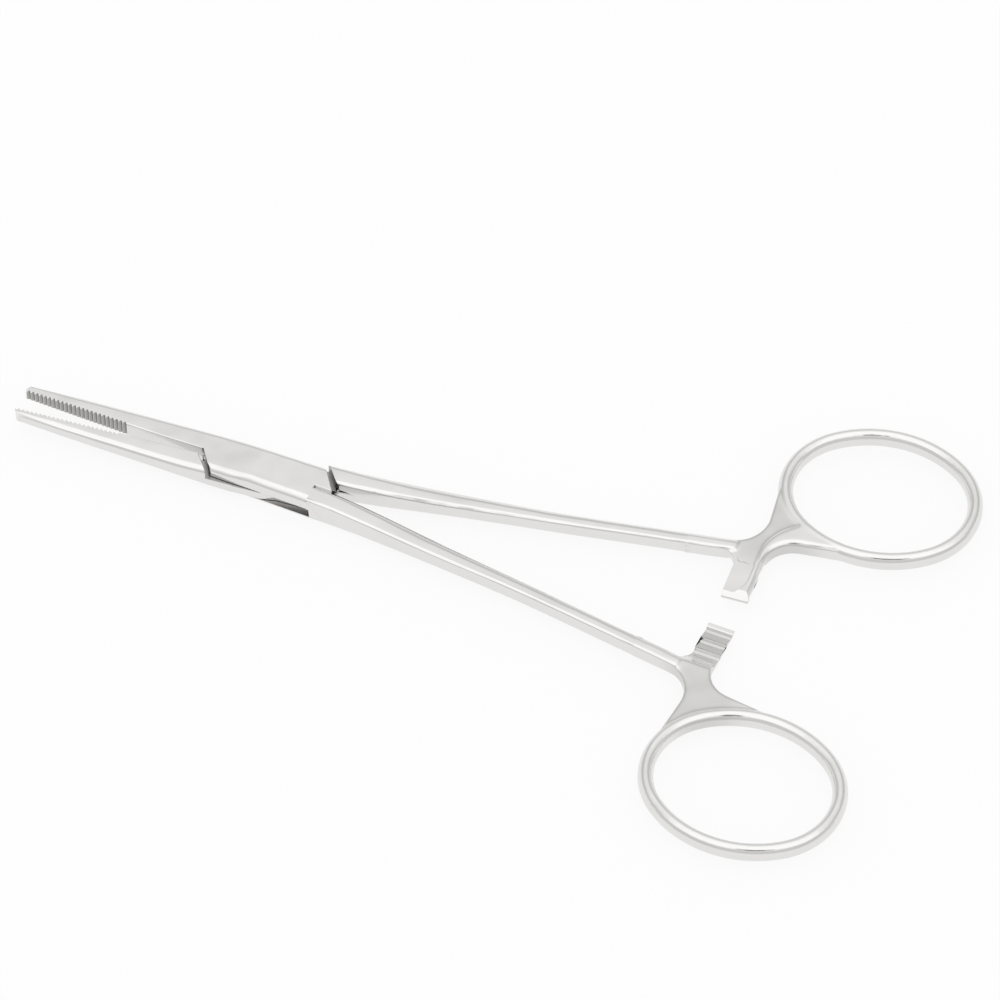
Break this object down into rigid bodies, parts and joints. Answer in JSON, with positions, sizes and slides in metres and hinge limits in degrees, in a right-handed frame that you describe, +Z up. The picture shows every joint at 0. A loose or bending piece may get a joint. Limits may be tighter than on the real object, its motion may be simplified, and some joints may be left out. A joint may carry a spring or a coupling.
{
  "type": "hemostat forceps",
  "caption": "Straight locking surgical clamp: slender jaws with cross serrations, a box lock on a flush rivet, ratchet arms and oval finger rings.",
  "frame": {"origin": "on the rivet's axis, at the underside of the box lock", "axes": "+X from the lock towards the finger rings, between the two handles; +Y towards the tongue half's ring; +Z up, along the rivet"},
  "size_m": [0.1399, 0.0842, 0.0045],
  "materials": {
    "forged_steel": "satin polished stainless steel",
    "rivet_steel": "stainless steel ground flush with the lock"
  },
  "bodies": {
    "box_side": {"box_half": "forged_steel", "pivot_rivet": "rivet_steel"},
    "tongue_side": {"tongue_half": "forged_steel"}
  },
  "joints": [
    {"name": "box_lock", "type": "hinge", "parent": "box_side", "child": "tongue_side", "pos_m": [0, 0, 0.00225], "axis": [0, 0, 1], "range_deg": [-5, 50]}
  ]
}
